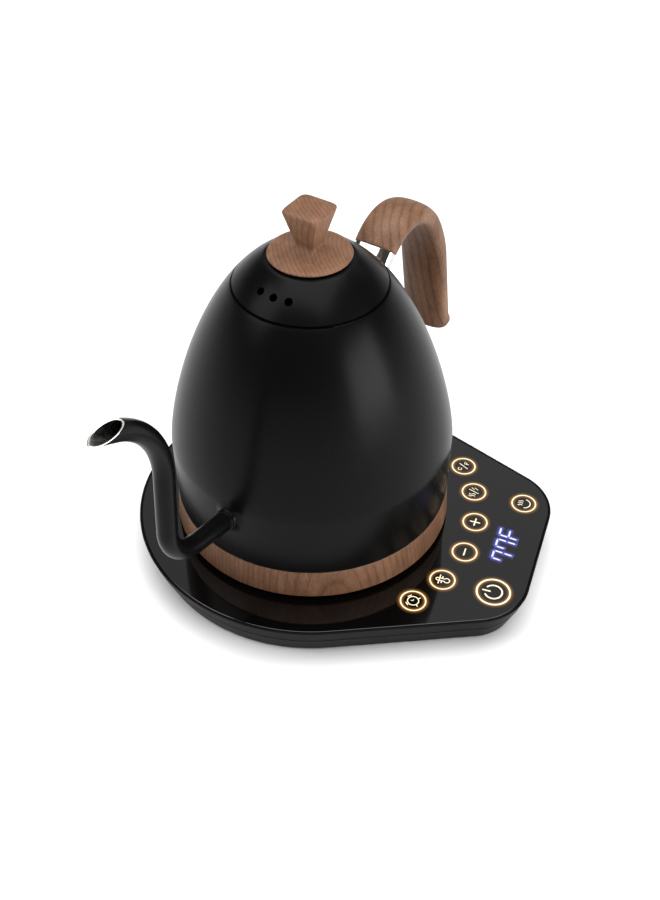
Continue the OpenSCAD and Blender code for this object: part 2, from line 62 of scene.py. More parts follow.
camera_data = bpy.data.cameras.new("camera")
camera_data.lens = 49.62
camera_data.sensor_width = 36
camera_data.clip_start = 0.01
camera = in_scene("camera", camera_data)
bpy.context.scene.camera = camera
forward = Vector((0.7029, 0.2360, -0.6710)).normalized()
right = Vector((0.3183, -0.9480, 0)).normalized()
up = right.cross(forward)
camera.matrix_world = (Matrix.Translation((-0.41999, -0.14996, 0.45731))
                       @ Matrix((right, up, -forward)).transposed().to_4x4())


# ---------------------------------------------------------------- mesh helpers

def clean(mesh):
    """Merges doubled points and turns the faces outwards."""
    work = bmesh.new()
    work.from_mesh(mesh)
    bmesh.ops.remove_doubles(work, verts=work.verts, dist=MERGE)
    bmesh.ops.recalc_face_normals(work, faces=work.faces)
    work.to_mesh(mesh)
    work.free()


def make(name, shape, material, body, stands_for=(), turn=False, sharp=32,
         extra_materials=(), face_material=None):
    """Makes a piece from (points in mm, faces), hangs it on its body and hides the CAD parts it
    stands for.
    """
    points, faces = shape
    place = TURN if turn else Matrix.Identity(4)
    mesh = bpy.data.meshes.new(name)
    mesh.from_pydata([place @ Vector(p) * MM for p in points], [], faces)
    if face_material:
        mesh.polygons.foreach_set("material_index",
                                  [face_material(Vector(points[f[0]])) for f in faces])
    clean(mesh)
    mesh.shade_smooth()
    mesh.set_sharp_from_angle(angle=radians(sharp))
    for m in (material, *extra_materials):
        mesh.materials.append(m)
    piece = in_scene(name, mesh)
    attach(piece, body)
    if stands_for:
        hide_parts(*stands_for)
    return piece


def loft(rings, capped=False, looped=False):
    """Skins closed rings that all have the same number of points."""
    n, m = len(rings[0]), len(rings)
    points = [tuple(p) for ring in rings for p in ring]
    faces = []
    for k in range(m if looped else m - 1):
        a, b = k * n, (k + 1) % m * n
        faces += [(a + i, a + (i + 1) % n, b + (i + 1) % n, b + i) for i in range(n)]
    if capped:
        faces.append(tuple(reversed(range(n))))
        faces.append(tuple((m - 1) * n + i for i in range(n)))
    return points, faces


def joined(*shapes):
    points, faces = [], []
    for more_points, more_faces in shapes:
        start = len(points)
        points += more_points
        faces += [tuple(start + i for i in f) for f in more_faces]
    return points, faces


def moved(shape, matrix):
    return [tuple(matrix @ Vector(p)) for p in shape[0]], shape[1]


def lathe(profile, sides=192, looped=True):
    """Revolves (radius, height) points about Z. A looped profile makes a closed ring."""
    rings = [[(r * cos(2 * pi * i / sides), r * sin(2 * pi * i / sides), z) for i in range(sides)]
             for r, z in profile]
    return loft(rings, looped=looped)


def fillet(corners, steps=5, closed=True):
    """Rounds a profile's corners. Each is (x, y) or (x, y, radius)."""
    out = []
    n = len(corners)
    for i, corner in enumerate(corners):
        b = Vector(corner[:2])
        if len(corner) < 3 or (not closed and i in (0, n - 1)):
            out.append(tuple(b))
            continue
        to_a = Vector(corners[i - 1][:2]) - b
        to_c = Vector(corners[(i + 1) % n][:2]) - b
        half = to_a.angle(to_c) / 2
        reach = min(corner[2] / math.tan(half), 0.49 * to_a.length, 0.49 * to_c.length)
        radius = reach * math.tan(half)
        centre = b + (to_a.normalized() + to_c.normalized()).normalized() * radius / sin(half)
        start = b + to_a.normalized() * reach - centre
        end = b + to_c.normalized() * reach - centre
        a0 = math.atan2(start.y, start.x)
        turn = (math.atan2(end.y, end.x) - a0 + pi) % (2 * pi) - pi
        out += [(centre.x + radius * cos(a0 + turn * k / steps),
                 centre.y + radius * sin(a0 + turn * k / steps)) for k in range(steps + 1)]
    return out


def cut(piece, *shapes):
    """Takes solid shapes, in mm, out of a finished piece."""
    for shape in shapes:
        mesh = bpy.data.meshes.new("cutter")
        mesh.from_pydata([Vector(p) * MM for p in shape[0]], [], shape[1])
        clean(mesh)
        cutter = in_scene("cutter", mesh)
        modifier = piece.modifiers.new("cut", "BOOLEAN")
        modifier.operation = "DIFFERENCE"
        modifier.solver = "EXACT"
        modifier.object = cutter
        bpy.context.view_layer.update()
        graph = bpy.context.evaluated_depsgraph_get()
        result = bpy.data.meshes.new_from_object(piece.evaluated_get(graph))
        piece.modifiers.clear()
        piece.data = result
        bpy.data.objects.remove(cutter)
    piece.data.shade_smooth()
    piece.data.set_sharp_from_angle(angle=radians(32))


def boundary(low, high, inside):
    """Where inside(value) turns from true to false, found by halving the span."""
    for _ in range(HALVINGS):
        middle = (low + high) / 2
        if inside(middle):
            low = middle
        else:
            high = middle
    return low


def arc(centre, radius, start, end, steps):
    """Points on an arc, with angles in degrees."""
    return [(centre[0] + radius * cos(radians(start + (end - start) * i / steps)),
             centre[1] + radius * sin(radians(start + (end - start) * i / steps)))
            for i in range(steps + 1)]


# ---------------------------------------------------------------- paths in the symmetry plane

def path(start, heading, legs, step=1.2):
    """Stations (distance, height, heading) along straight legs ("line", length) and bends
    ("bend", radius, turn in degrees)."""
    x, z, h = start[0], start[1], radians(heading)
    stations = [(x, z, h)]
    for leg in legs:
        length = leg[1] if leg[0] == "line" else abs(radians(leg[2])) * leg[1]
        turn = 0 if leg[0] == "line" else radians(leg[2])
        count = max(1, round(length / step))
        for _ in range(count):
            middle = h + turn / count / 2
            chord = length / count
            if turn:
                chord *= sin(abs(turn / count) / 2) / abs(turn / count / 2)
            x, z = x + chord * cos(middle), z + chord * sin(middle)
            h += turn / count
            stations.append((x, z, h))
    return stations


def power(v, n):
    return math.copysign(abs(v) ** (2 / n), v)


def bar_ring(station, thick, wide, n=2, shift=0, sides=64, slope=0):
    """A rounded section across the path: thick in the symmetry plane, wide across it."""
    x, z, h = station
    ring = []
    for i in range(sides):
        a = 2 * pi * i / sides
        q = thick / 2 * power(cos(a), n) + shift
        along = slope * q
        ring.append((x - q * sin(h) + along * cos(h), wide / 2 * power(sin(a), n),
                     z + q * cos(h) + along * sin(h)))
    return ring


# ---------------------------------------------------------------- node helpers

def new_material(name, colour, roughness, metallic=0.0, **sockets):
    material = bpy.data.materials.new(name)
    material.use_nodes = True
    shader = material.node_tree.nodes["Principled BSDF"]
    shader.inputs["Base Color"].default_value = (*colour, 1)
    shader.inputs["Roughness"].default_value = roughness
    shader.inputs["Metallic"].default_value = metallic
    for key, value in sockets.items():
        shader.inputs[key.replace("_", " ")].default_value = value
    return material


def add(material, kind, inputs=None, **settings):
    """Adds a node. An input's value is a number, a vector or another node's output socket."""
    tree = material.node_tree
    node = tree.nodes.new(kind)
    for key, value in settings.items():
        setattr(node, key, value)
    for key, value in (inputs or {}).items():
        if isinstance(value, bpy.types.NodeSocket):
            tree.links.new(value, node.inputs[key])
        else:
            node.inputs[key].default_value = value
    return node


def shader_of(material):
    return material.node_tree.nodes["Principled BSDF"]


def link(material, socket, name):
    material.node_tree.links.new(socket, shader_of(material).inputs[name])


def ramp(material, factor, stops):
    node = add(material, "ShaderNodeValToRGB", {"Fac": factor})
    elements = node.color_ramp.elements
    while len(elements) < len(stops):
        elements.new(0.5)
    for element, (place, colour) in zip(elements, stops):
        element.position = place
        element.color = (*colour, 1) if len(colour) == 3 else colour
    return node.outputs["Color"]


def spread(material, factor, low, high):
    """Maps 0..1 to low..high."""
    node = add(material, "ShaderNodeMapRange", {"Value": factor, "To Min": low, "To Max": high})
    return node.outputs["Result"]


def grain_bump(material, height, distance, strength=1.0):
    node = add(material, "ShaderNodeBump",
               {"Height": height, "Distance": distance, "Strength": strength})
    link(material, node.outputs["Normal"], "Normal")


def object_coords(material, scale=(1, 1, 1), rotation=(0, 0, 0), location=(0, 0, 0)):
    coords = add(material, "ShaderNodeTexCoord")
    mapping = add(material, "ShaderNodeMapping",
                  {"Vector": coords.outputs["Object"], "Scale": scale, "Rotation": rotation,
                   "Location": location})
    return mapping.outputs["Vector"]


def noise(material, vector, scale, detail=3.0, roughness=0.5, distortion=0.0):
    node = add(material, "ShaderNodeTexNoise",
               {"Vector": vector, "Scale": scale, "Detail": detail, "Roughness": roughness,
                "Distortion": distortion})
    return node.outputs["Fac"]


def maths(material, operation, *values):
    return add(material, "ShaderNodeMath", dict(enumerate(values)), operation=operation).outputs[0]


def drawn_out(material, vector, along):
    """Squeezes the coordinates along Z, which draws a texture out along the wood's fibres."""
    node = add(material, "ShaderNodeMapping", {"Vector": vector, "Scale": (1, 1, along)})
    return node.outputs["Vector"]


def moulded(name, colour, roughness, texture=2600, depth=2e-5, **sockets):
    """Moulded plastic, rubber or coated metal: fine skin texture with a slightly uneven gloss."""
    material = new_material(name, colour, roughness, **sockets)
    coords = object_coords(material)
    fine = noise(material, coords, texture, 2)
    cloud = noise(material, coords, 45, 4)
    link(material, spread(material, cloud, roughness * 0.9, roughness * 1.12), "Roughness")
    tint = tuple(c * 1.25 for c in colour)
    link(material, ramp(material, cloud, [(0.3, colour), (0.75, tint)]), "Base Color")
    grain_bump(material, fine, depth)
    return material


def brushed(name, colour, roughness, direction=(1, 1, 1)):
    """Metal with fine marks: noise squeezed across them."""
    material = new_material(name, colour, roughness, 1.0)
    marks = noise(material, object_coords(material, direction), 900, 3)
    link(material, spread(material, marks, roughness * 0.75, roughness * 1.3), "Roughness")
    dark = tuple(c * 0.85 for c in colour)
    link(material, ramp(material, marks, [(0.35, dark), (0.7, colour)]), "Base Color")
    grain_bump(material, marks, 3e-6)
    return material


def walnut(name, rotation, centre, seed, rings=260, fibres=1.0, light=1.0, figure=0.3):
    """Solid walnut. Growth rings run round an axis along the local Z, and fibres along it."""
    material = new_material(name, (0.2, 0.1, 0.06), 0.5)
    shader_of(material).inputs["Specular IOR Level"].default_value = 0.32
    coords = object_coords(material, (1, 1, 1), rotation, centre)
    flat = drawn_out(material, coords, 0.12)
    shifted = add(material, "ShaderNodeMapping",
                  {"Vector": flat, "Location": (seed, seed * 0.7, seed * 0.3)}).outputs["Vector"]
    sway = noise(material, shifted, 38, 3, 0.55)
    radius = add(material, "ShaderNodeVectorMath", {0: flat}, operation="LENGTH").outputs["Value"]
    ring = maths(material, "MULTIPLY_ADD", sway, 1.5, maths(material, "MULTIPLY", radius, rings))
    saw = maths(material, "FRACT", ring)
    band = ramp(material, saw, [(0.0, (0.35,) * 3), (0.3, (0.75,) * 3), (0.78, (0.6,) * 3),
                                (0.93, (0.0,) * 3), (1.0, (0.33,) * 3)])
    fibre = noise(material, drawn_out(material, coords, 0.045), 1500 * fibres, 4, 0.62)
    pore = noise(material, drawn_out(material, coords, 0.07), 3400 * fibres, 1, 0.4)
    pore = ramp(material, pore, [(0.3, (1, 1, 1)), (0.42, (0, 0, 0))])
    streak = noise(material, shifted, 110, 4, 0.6)
    mix = maths(material, "MULTIPLY", band, figure)
    mix = maths(material, "MULTIPLY_ADD", fibre, 0.62, mix)
    mix = maths(material, "MULTIPLY_ADD", streak, 0.55, mix)
    tones = [(0.42, (0.055, 0.022, 0.010)), (0.58, (0.115, 0.05, 0.024)),
             (0.74, (0.175, 0.082, 0.041)), (0.96, (0.27, 0.142, 0.08))]
    colour = ramp(material, mix, [(p, tuple(c * light for c in rgb)) for p, rgb in tones])
    dark = add(material, "ShaderNodeMix",
               {"Factor": maths(material, "MULTIPLY", pore, 0.45),
                6: colour, 7: (0.045, 0.022, 0.012, 1)}, data_type="RGBA")
    link(material, dark.outputs[2], "Base Color")
    link(material, spread(material, fibre, 0.42, 0.62), "Roughness")
    grain_bump(material, maths(material, "MULTIPLY_ADD", pore, -0.8, fibre), 5e-5, 0.6)
    return material


def glowing(name, colour, strength):
    """A lit symbol: emission that is a little uneven, as light through a printed film is."""
    material = new_material(name, (0.02, 0.02, 0.02), 0.4)
    shader_of(material).inputs["Emission Color"].default_value = (*colour, 1)
    cloud = noise(material, object_coords(material), 300, 2)
    link(material, spread(material, cloud, strength * 0.85, strength * 1.15), "Emission Strength")
    return material


def halo(name, colour, strength):
    """Light that spreads in the glass round a symbol. It fades with the piece's own falloff."""
    material = bpy.data.materials.new(name)
    material.use_nodes = True
    tree = material.node_tree
    tree.nodes.clear()
    fade = add(material, "ShaderNodeAttribute", attribute_name="falloff")
    glow = add(material, "ShaderNodeEmission", {"Color": (*colour, 1)})
    tree.links.new(maths(material, "MULTIPLY", fade.outputs["Fac"], strength),
                   glow.inputs["Strength"])
    clear = add(material, "ShaderNodeBsdfTransparent")
    total = add(material, "ShaderNodeAddShader")
    tree.links.new(glow.outputs[0], total.inputs[0])
    tree.links.new(clear.outputs[0], total.inputs[1])
    out = add(material, "ShaderNodeOutputMaterial")
    tree.links.new(total.outputs[0], out.inputs["Surface"])
    return material


# ---------------------------------------------------------------- materials

SATIN = moulded("satin_black_coat", (0.0022, 0.0022, 0.0023), 0.28, 2400, 1e-5,
                Specular_IOR_Level=0.075)
SPOUT_COAT = moulded("satin_black_spout", (0.0022, 0.0022, 0.0023), 0.26, 2400, 8e-6,
                     Specular_IOR_Level=0.09)
PLASTIC = moulded("black_plastic", (0.012, 0.012, 0.0125), 0.46, 3000, 2e-5)
HOUSING = moulded("housing_plastic", (0.003, 0.003, 0.0031), 0.4, 3000, 1e-5,
                  Specular_IOR_Level=0.04)
GLASS = new_material("black_glass", (0.0018, 0.0014, 0.0013), 0.06)
smudge = noise(GLASS, object_coords(GLASS), 28, 4)
link(GLASS, spread(GLASS, smudge, 0.045, 0.085), "Roughness")
grain_bump(GLASS, noise(GLASS, object_coords(GLASS), 9, 1), 6e-6)
RUBBER = moulded("rubber", (0.016, 0.016, 0.016), 0.75, 1800, 4e-5)
SILICONE = moulded("silicone", (0.45, 0.45, 0.43), 0.5, 2200, 1e-5)
CHROME = brushed("polished_steel", (0.66, 0.65, 0.64), 0.09)
BARE = brushed("bare_steel", (0.5, 0.49, 0.48), 0.26, (1, 1, 0.08))
LIP = brushed("bare_lip", (0.78, 0.76, 0.72), 0.2)
SCREW = brushed("screw_steel", (0.42, 0.42, 0.42), 0.3)
ALUMINIUM = brushed("aluminium", (0.62, 0.62, 0.63), 0.4)
BRASS = brushed("contact_brass", (0.72, 0.5, 0.2), 0.22, (1, 1, 0.1))
WHITE = moulded("milky_plastic", (0.7, 0.7, 0.67), 0.4)
BOARD = moulded("green_board", (0.014, 0.09, 0.035), 0.35, 900, 3e-5)
BLUE = moulded("blue_case", (0.02, 0.07, 0.28), 0.35)
BROWN = moulded("brown_case", (0.1, 0.045, 0.02), 0.45)
DISPLAY = moulded("display_case", (0.04, 0.04, 0.045), 0.3)
FILM = moulded("printed_film", (0.02, 0.02, 0.02), 0.3)
GRIP_WOOD = walnut("walnut_grip", (radians(5), radians(-6), radians(14.65)),
                   (-0.085, 0.08, -0.02), 1.7, rings=240, light=0.92, figure=0.26)
KNOB_WOOD = walnut("walnut_knob", (radians(24), radians(-20), 0), (0.03, 0.11, -0.1), 4.1,
                   rings=560, fibres=1.3, light=1.05, figure=0.24)
BAND_WOOD = walnut("walnut_band", (radians(3), radians(4), 0), (0.11, 0.06, 0), 7.3,
                   rings=420, fibres=1.7, light=0.85, figure=0.24)
ICON_LIGHT = glowing("icon_light", (1.0, 0.86, 0.6), 1.35)
DIGIT_LIGHT = glowing("digit_light", (0.72, 0.78, 1.0), 1.3)
ICON_HALO = halo("icon_halo", (1.0, 0.46, 0.06), 0.42)
DIGIT_HALO = halo("digit_halo", (0.2, 0.2, 1.0), 0.6)

# ---------------------------------------------------------------- kettle body

WIDE_Z, EGG_R = 69.8, 66.6
EGG_H, EGG_POWER, EGG_ROOT = 100.7, 1.37, 2.18  # the part that closes in above WIDE_Z
EGG_LOW_H = 217  # half height of the slack curve below it
WALL = 1.0
BODY_LOW, BODY_TOP = 38.3, 151.5


def egg(z):
    """The body's outer radius at this height."""
    if z > WIDE_Z:
        return EGG_R * (1 - ((z - WIDE_Z) / EGG_H) ** EGG_POWER) ** (1 / EGG_ROOT)
    return EGG_R * math.sqrt(1 - ((WIDE_Z - z) / EGG_LOW_H) ** 2)


def egg_point(z, inset=0.0):
    """(radius, height) on the outline, or this far inside it."""
    slope = (egg(z + 0.05) - egg(z - 0.05)) / 0.1
    length = math.hypot(1, slope)
    return egg(z) - inset / length, z + inset * slope / length


def egg_curve(z0, z1, inset=0.0, steps=60):
    return [egg_point(z0 + (z1 - z0) * i / steps, inset) for i in range(steps + 1)]


skirt = [(61.5, 26.1), (62.4, 26.1), (62.4, 37.9),
         (egg(BODY_LOW) - 0.5, 37.9), (egg(BODY_LOW) - 0.15, 38.02)]
brim = [(egg(BODY_TOP) - 0.35, 151.85), (egg(BODY_TOP) - 0.8, 151.8), (33.8, 151.55),
        (31.4, 151.55), (31.05, 151.4), (31.05, 150.7)]
body_profile = (skirt + egg_curve(BODY_LOW, BODY_TOP, steps=90) + brim
                + list(reversed(egg_curve(41.5, 150.4, WALL))) + [(61.5, 40)])

# The spout runs along this path, drawn towards +X and turned to the spout's side
SPOUT_HOLE = 4.45
SPOUT_ROOT_R, SPOUT_ROOT_Z, SPOUT_RISE = 60, 62.3, 11
rise = radians(SPOUT_RISE)
SPOUT_AXIS = Vector((cos(rise), 0, sin(rise)))
SPOUT_UP = Vector((-sin(rise), 0, cos(rise)))
ACROSS = Vector((0, 1, 0))
spout_path = path((SPOUT_ROOT_R, SPOUT_ROOT_Z), SPOUT_RISE,
                  [("line", 31.33), ("bend", 20, 83), ("line", 29.5),
                   ("bend", 43.2, -66.6), ("line", 24)], 1.0)


def on_spout_axis(distance_from_axis):
    """A point of the lowest stretch's axis, at this distance from the kettle's axis."""
    return Vector((distance_from_axis, 0,
                   SPOUT_ROOT_Z + (distance_from_axis - SPOUT_ROOT_R) * math.tan(rise)))


def rod(start, direction, radius, length, sides=48):
    """A straight round bar, capped at both ends."""
    axis = Vector(direction).normalized()
    across = axis.orthogonal().normalized()
    other = axis.cross(across)
    rings = []
    for k in (0, 1):
        centre = Vector(start) + axis * length * k
        rings.append([centre + (across * cos(2 * pi * i / sides) + other * sin(2 * pi * i / sides))
                      * radius for i in range(sides)])
    return loft(rings, capped=True)


body = make("kettle_shell", lathe(body_profile, 240), SATIN, "kettle", ["kettle_body"],
            True)
cut(body, moved(rod(on_spout_axis(50), SPOUT_AXIS, SPOUT_HOLE, 30), TURN @ SPOUT_SIDE))

# A concave flare leads the body's surface into the spout's collar
FLARE_BORE, FLARE_R, FLARE_NARROWING, FLARE_SUNK, FLARE_LIFT = 4.6, 9.2, 4.1, 0.12, 1.75
FLARE_STEPS = 12


def flare_ring(radius, lift, sides=96, stretch=0.0):
    """Points round the spout's axis at this radius, this far above the body's surface."""
    ring = []
    for i in range(sides):
        a = 2 * pi * i / sides
        reach = radius * (1 + stretch * max(0, sin(a)) ** 2)
        inside_body = on_spout_axis(40) + ACROSS * reach * cos(a) + SPOUT_UP * reach * sin(a)

        def below_surface(s):
            p = inside_body + SPOUT_AXIS * s
            return math.hypot(p.x, p.y) < egg(p.z) + lift

        ring.append(inside_body + SPOUT_AXIS * boundary(0.0, 60.0, below_surface))
    return ring


flare_rings = [flare_ring(FLARE_BORE, -0.4)]
for k in range(FLARE_STEPS + 1):
    t = k / FLARE_STEPS
    flare_rings.append(flare_ring(FLARE_R - FLARE_NARROWING * sin(t * pi / 2),
                                  -FLARE_SUNK + FLARE_LIFT * (1 - cos(t * pi / 2)),
                                  stretch=0.25 * (1 - t)))
flare_rings.append(flare_ring(FLARE_BORE, 1.6))
make("spout_flare", moved(loft(flare_rings), SPOUT_SIDE), SATIN, "kettle",
     turn=True)

# ---------------------------------------------------------------- spout

OUTER, INNER, TUBE_SIDES = 4.5, 3.9, 64
# Up to this station the rings stand square to the path. Beyond it they lean over to the mouth.
TUBE_BREAK, LEANING_RINGS = 96, 40
# The mouth is sliced by a nearly level plane through this point
mouth_point = Vector((121.6, 0, 162.6))
mouth_normal = Vector((sin(radians(2.6)), 0, cos(radians(2.6))))


def along_spout(s):
    """A station of the spout's path, s counted in stations and fractions of one."""
    k = min(int(s), len(spout_path) - 2)
    t = s - k
    a, b = spout_path[k], spout_path[k + 1]
    return tuple(a[j] + (b[j] - a[j]) * t for j in range(3))


def tube_point(s, radius, angle):
    x, z, h = along_spout(s)
    q = radius * cos(angle)
    return Vector((x - q * sin(h), radius * sin(angle), z + q * cos(h)))


def mouth_station(radius, angle):
    """Where the line along the tube's wall at this angle meets the slicing plane."""
    return boundary(60.0, len(spout_path) - 1.0, lambda s: (
        tube_point(s, radius, angle) - mouth_point).dot(mouth_normal) < 0)


def tube_rings(radius):
    angles = [2 * pi * i / TUBE_SIDES for i in range(TUBE_SIDES)]
    rings = [[tube_point(s, radius, a) for a in angles] for s in range(TUBE_BREAK + 1)]
    ends = [mouth_station(radius, a) for a in angles]
    for k in range(1, LEANING_RINGS + 1):
        rings.append([tube_point(TUBE_BREAK + (e - TUBE_BREAK) * k / LEANING_RINGS, radius, a)
                      for a, e in zip(angles, ends)])
    return rings


outer_rings = tube_rings(OUTER)
inner_rings = tube_rings(INNER)
lip_rings = [[p + (q - p) * t + mouth_normal * 0.12 * sin(pi * t)
              for p, q in zip(outer_rings[-1], inner_rings[-1])] for t in (0.2, 0.5, 0.8)]
spout_shape = loft(outer_rings + lip_rings + list(reversed(inner_rings)), looped=True)
outer_count = len(outer_rings) * TUBE_SIDES
lip_count = outer_count + len(lip_rings) * TUBE_SIDES
spout = make("spout_tube_gooseneck", moved(spout_shape, SPOUT_SIDE), SPOUT_COAT, "kettle",
             ["spout_tube"], True, 40, [BARE, LIP])
for face in spout.data.polygons:
    first = min(face.vertices)
    if first >= outer_count - TUBE_SIDES:
        face.material_index = 2 if first < lip_count else 1


# Two thin raised rings make the collar
def spout_lathe(profile, along):
    """Revolves (radius, distance along) about the spout's lowest stretch."""
    centre = on_spout_axis(along)
    sides = 96
    rings = [[centre + SPOUT_AXIS * d + SPOUT_UP * r * cos(2 * pi * i / sides)
              + ACROSS * r * sin(2 * pi * i / sides) for i in range(sides)]
             for r, d in profile]
    return loft(rings, looped=True)


collar_profile = fillet([(4.4, -0.9), (5.1, -0.9, 0.2), (5.38, 0.1, 0.4), (5.1, 0.85, 0.2),
                         (4.72, 1.1, 0.2), (4.72, 1.5, 0.2), (5.15, 1.7, 0.25),
                         (5.15, 2.5, 0.35), (4.4, 2.8)], 4)
make("spout_collar_rings", moved(spout_lathe(collar_profile, 68.3), SPOUT_SIDE), SPOUT_COAT,
     "kettle", ["spout_collar"], True)

# ---------------------------------------------------------------- wood band and underside

band_profile = fillet([(62.6, 22.95), (66.95, 22.95, 0.6), (egg(38) + 0.08, 37.95, 0.45),
                       (62.6, 37.95)], 5)
make("wood_band_ring", lathe(band_profile, 240), BAND_WOOD, "kettle", ["wood_band"], True)

# ---------------------------------------------------------------- handle

NECK_T, NECK_W, GRIP_T, GRIP_W = 9.4, 20.6, 11.0, 23.4
GRIP_START = (54.0, 139.8)
NARROW_END = 0.93  # the grip's width at the neck, as a share of GRIP_W
TOE_TURN = 0.74    # the share of the toe after which it rounds off
neck_path = path((45.6, 127.2), 60, [("bend", 60, -14), ("line", 1.2)], 0.6)
neck_end = neck_path[-1]
shift_x, shift_z = GRIP_START[0] - neck_end[0], GRIP_START[1] - neck_end[1]
neck_path = [(x + shift_x, z + shift_z, h) for x, z, h in neck_path]
neck_rings = [bar_ring(s, NECK_T, NECK_W, 3.0, sides=96) for s in neck_path]
make("handle_neck_bar", loft(neck_rings, capped=True), CHROME, "kettle", ["handle_neck"],
     True)

grip_path = path(GRIP_START, 46, [("bend", 25, -104), ("bend", 63, -22), ("line", 41.5)], 1.2)
toe = path((grip_path[-1][0], grip_path[-1][1]), -80, [("line", 8)], 0.5)[1:]
grip_rings = []
last = len(grip_path) - 1
for t in (0.0, 0.35, 0.75):
    trim = 0.7 * (1 - math.sqrt(1 - (1 - t) ** 2))
    x, z, h = grip_path[0]
    step = 0.5 * t
    grip_rings.append(bar_ring((x + step * cos(h), z + step * sin(h), h), GRIP_T - 2 * trim,
                               GRIP_W * NARROW_END - 2 * trim, 2.2))
for k in range(1, last + 1):
    t = min(1, k / (last * 0.62))
    grip_rings.append(bar_ring(grip_path[k], GRIP_T, GRIP_W * (NARROW_END + 0.11 * t),
                               2.2 + 0.6 * t))
for k, station in enumerate(toe):
    t = (k + 1) / len(toe)
    flare = 2.0 * sin(min(1, t / TOE_TURN) * pi / 2) ** 2
    past = max(0, (t - TOE_TURN) / (1 - TOE_TURN))
    round_off = 2.8 * (1 - math.sqrt(max(0, 1 - past ** 2)))
    grip_rings.append(bar_ring(station, GRIP_T + flare - 2 * round_off,
                               GRIP_W * 1.04 - 2 * round_off, 2.8, flare / 2))
make("handle_grip_wood", loft(grip_rings, capped=True), GRIP_WOOD, "kettle", ["handle_grip"],
     True, 50)

# ---------------------------------------------------------------- lid

LID_LOW = 152.9
lid_outside = egg_curve(LID_LOW, 165.2, steps=26)
# A thin skirt inside the seam hides the steel flange of the lid's plug
lid_profile = ([(33.15, 153.3), (33.15, 152.05), (33.45, 152.05), (33.45, 152.8),
                (egg(LID_LOW) - 0.3, 152.72)] + lid_outside
               + [(2.6, 165.3), (2.6, 164.4), (15, 164.4)]
               + list(reversed(egg_curve(153.1, 164.0, WALL, 20))))
lid = make("lid_cap", lathe(lid_profile, 240), SATIN, "lid", ["lid_shell"], True)
vents = []
for angle in (-15, 0, 15):
    about = Matrix.Rotation(radians(180 + angle), 4, "Z")
    vents.append(moved(rod((23, 0, 155.2), (0.71, 0, 0.70), 1.8, 12), TURN @ about))
cut(lid, *vents)

# The knob is one turned and carved piece: a shallow bell that rises into a square flared stem
knob_sections = [  # height, half width, squareness of the section
    (166.35, 17.9, 2.0), (166.45, 18.3, 2.0), (166.8, 18.5, 2.0), (167.2, 18.35, 2.0),
    (167.55, 17.6, 2.0), (167.8, 16.4, 2.0), (168.1, 14.6, 2.0), (168.5, 12.2, 2.02),
    (169.0, 9.8, 2.1), (169.6, 7.7, 2.5), (170.2, 6.3, 3.3), (170.9, 5.25, 4.6),
    (171.8, 4.8, 6.5), (173.0, 4.95, 8.0)]
STEM_RINGS = 13
for k in range(1, STEM_RINGS + 1):
    t = k / STEM_RINGS
    knob_sections.append((173.0 + 14.4 * t, 4.95 + 4.15 * t, 8.0 - 1.5 * t))
knob_sections += [(187.9, 9.1, 6.3), (188.25, 8.88, 6.0), (188.5, 8.45, 5.5), (188.68, 7.6, 5.0),
                  (188.82, 5.7, 4.0), (188.92, 3.2, 3.0), (188.96, 1.0, 2.0)]
knob_angles = [2 * pi * i / 128 for i in range(128)]
knob_rings = [[(half * power(cos(a), n), half * power(sin(a), n), z) for a in knob_angles]
              for z, half, n in knob_sections]
make("lid_knob_wood", loft(knob_rings, capped=True), KNOB_WOOD, "lid", ["lid_knob"],
     True, 60)

# ---------------------------------------------------------------- base

FRONT_HALF, CORNER_R, FRONT_Y, ROUND_R = 25.0, 28.3, 115.5, 86.8
corner = Vector((FRONT_HALF, CORNER_R - FRONT_Y))
flank = math.degrees(math.acos((ROUND_R - CORNER_R) / corner.length)
                     + math.atan2(corner.y, corner.x))


def outline(inset):
    """The base's outline, counter-clockwise from the right flank."""
    return (arc((0, 0), ROUND_R - inset, flank, 180 - flank, 150)
            + arc((-corner.x, corner.y), CORNER_R - inset, 180 - flank, 270, 30)
            + arc(corner, CORNER_R - inset, -90, flank, 30))


def slab(levels):
    """Skins outlines at (inset, height) levels."""
    return [[(x, y, z) for x, y in outline(inset)] for inset, z in levels]


def hole_ring(radius, z):
    """A circle with its points in the outline's directions, so that the two can be skinned."""
    return [(radius * cos(math.atan2(y, x)), radius * sin(math.atan2(y, x)), z)
            for x, y in outline(0)]


PANEL_RING, SOCKET_R = 60, 19.0
glass_levels = [(1.35, 17.05), (1.35, 19.7), (1.45, 19.9), (1.7, 20.0), (1.78, 20.0),
                (2.4, 20.0)]
glass_rings = slab(glass_levels) + [
    hole_ring(PANEL_RING, 20.0), hole_ring(SOCKET_R + 0.4, 20.0), hole_ring(SOCKET_R + 0.1, 19.8),
    hole_ring(SOCKET_R, 17.05)]
make("glass_panel", loft(glass_rings, looped=True), GLASS, "base", ["glass_top"],
     sharp=50)

rim_levels = [(1.25, 17.05), (1.25, 19.8), (0.95, 19.97), (0.5, 19.92), (0.2, 19.7),
              (0.22, 19.3), (0.26, 19.18), (2.36, 12.72), (2.4, 12.6), (2.55, 12.4),
              (2.9, 12.3), (4.6, 12.3), (4.6, 15.35)]
frame_rings = slab(rim_levels) + [
    hole_ring(PANEL_RING, 15.35), hole_ring(25.1, 15.35), hole_ring(25.1, 16.95),
    hole_ring(PANEL_RING, 16.95)]
make("base_rim", loft(frame_rings, looped=True), HOUSING, "base", ["upper_frame"],
     sharp=50)

